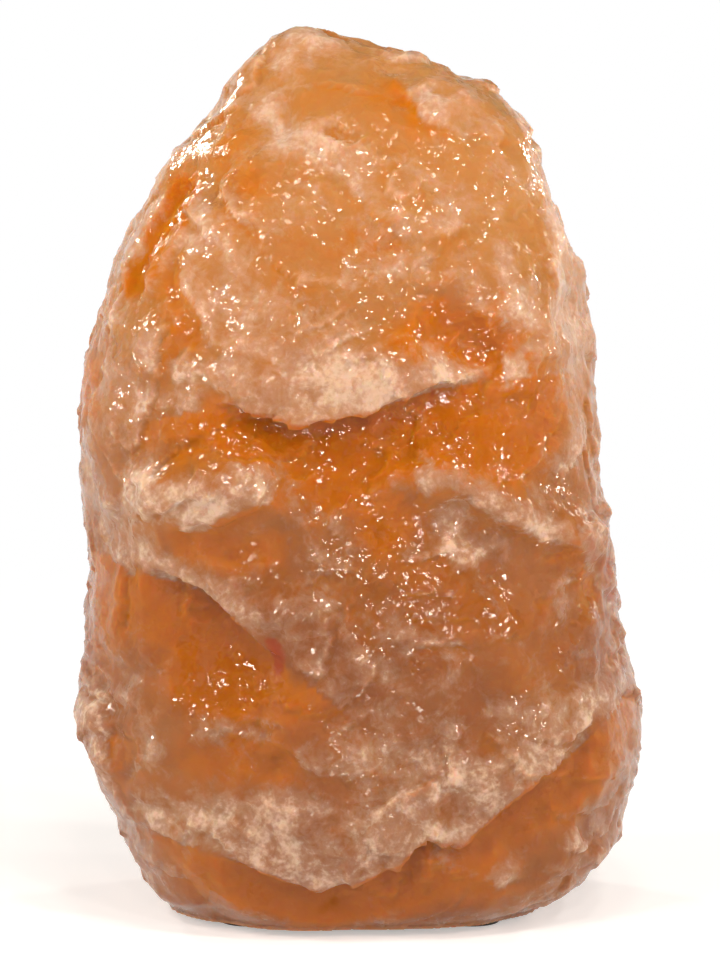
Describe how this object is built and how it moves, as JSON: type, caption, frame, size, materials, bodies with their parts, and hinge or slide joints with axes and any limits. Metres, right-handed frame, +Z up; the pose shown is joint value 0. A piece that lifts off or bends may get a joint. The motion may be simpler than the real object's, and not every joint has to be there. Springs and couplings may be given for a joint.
{
  "type": "salt crystal lamp",
  "caption": "Free-standing block of orange rock salt, bored from below and set over a clip-in fitting with a small screw bulb.",
  "frame": {"origin": "on the table, in the middle of the underside of the fitting's foot disc", "axes": "+Z up, +X to the right of the face seen first, -Y towards the viewer"},
  "size_m": [0.1495, 0.1269, 0.2315],
  "materials": {
    "rock_salt": "gloss",
    "felt": "matte",
    "black_rubber": "matte",
    "moulded_plastic": "satin",
    "holder_plastic": "satin",
    "zinc_steel": "satin",
    "spring_steel": "satin",
    "porcelain": "satin",
    "brass": "satin",
    "solder": "satin",
    "black_glass": "gloss",
    "clear_glass": "gloss",
    "lamp_wire": "satin"
  },
  "bodies": {
    "fitting": {"foot_disc": "black_rubber", "base_cover": "moulded_plastic", "cover_screws": "zinc_steel", "socket_base": "moulded_plastic", "cord_grommet": "black_rubber", "threaded_nipple": "zinc_steel", "nipple_nut": "zinc_steel", "lock_washer": "zinc_steel", "clip_bracket": "spring_steel", "wing_pins": "zinc_steel", "wing_springs": "spring_steel", "holder_cap": "holder_plastic", "grub_screw": "zinc_steel", "contact_block": "porcelain", "centre_contact": "brass", "neutral_strip": "brass", "terminal_clamps": "brass", "terminal_screws": "brass", "screw_shell": "brass", "shell_rivets": "brass", "holder_skirt": "holder_plastic"},
    "crystal": {"salt_crystal": "rock_salt", "felt_pads": "felt"},
    "wing_left": {"clip_wing_left": "spring_steel"},
    "wing_right": {"clip_wing_right": "spring_steel"},
    "bulb": {"bulb_cap": "brass", "cap_insulator": "black_glass", "cap_contact": "solder", "bulb_glass": "clear_glass", "glass_stem": "clear_glass", "lead_wires": "lamp_wire", "support_wires": "lamp_wire", "filament": "lamp_wire"}
  },
  "joints": [
    {"name": "crystal_lift", "type": "slide", "parent": "fitting", "child": "crystal", "axis": [0, 0, 1], "range_m": [0, 0.11]},
    {"name": "bulb_turn", "type": "hinge", "parent": "fitting", "child": "bulb", "pos_m": [0, 0, 0.045], "axis": [0, 0, 1], "range_deg": [0, 1080]},
    {"name": "wing_left_flex", "type": "hinge", "parent": "fitting", "child": "wing_left", "pos_m": [-0.0156, 0, 0.0184], "axis": [0, 1, 0], "range_deg": [0, 6], "stiffness_Nm_per_rad": 0.05, "springref_deg": -20.05},
    {"name": "wing_right_flex", "type": "hinge", "parent": "fitting", "child": "wing_right", "pos_m": [0.0156, 0, 0.0184], "axis": [0, -1, 0], "range_deg": [0, 6], "stiffness_Nm_per_rad": 0.05, "springref_deg": -20.05}
  ]
}
